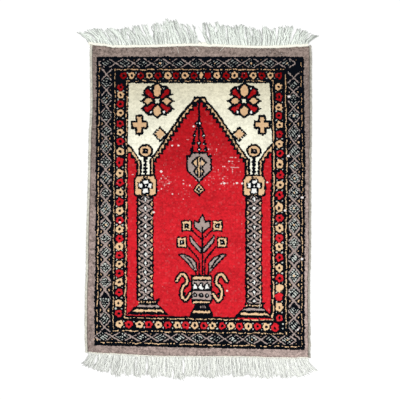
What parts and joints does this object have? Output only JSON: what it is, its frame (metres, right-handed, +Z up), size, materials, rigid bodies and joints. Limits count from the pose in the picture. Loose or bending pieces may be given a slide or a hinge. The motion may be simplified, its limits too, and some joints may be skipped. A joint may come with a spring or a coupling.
{
  "type": "wool prayer rug",
  "caption": "Flat knotted wool prayer rug with an arch-and-column design, overcast side edges and a cotton warp fringe at each end.",
  "frame": {"origin": "middle of the whole rug's outline, fringes included, on the surface it lies on", "axes": "+Y along the rug towards the niche end, +X across it to the right, +Z up out of the pile"},
  "size_m": [0.6516, 0.9752, 0.008],
  "materials": {
    "pile": "matte wool pile",
    "edging": "matte wool yarn",
    "fringe": "matte cotton yarn"
  },
  "bodies": {
    "root": {"rug_body": "pile", "selvedge_left": "edging", "selvedge_right": "edging", "fringe_top": "fringe", "fringe_bottom": "fringe"}
  },
  "joints": []
}
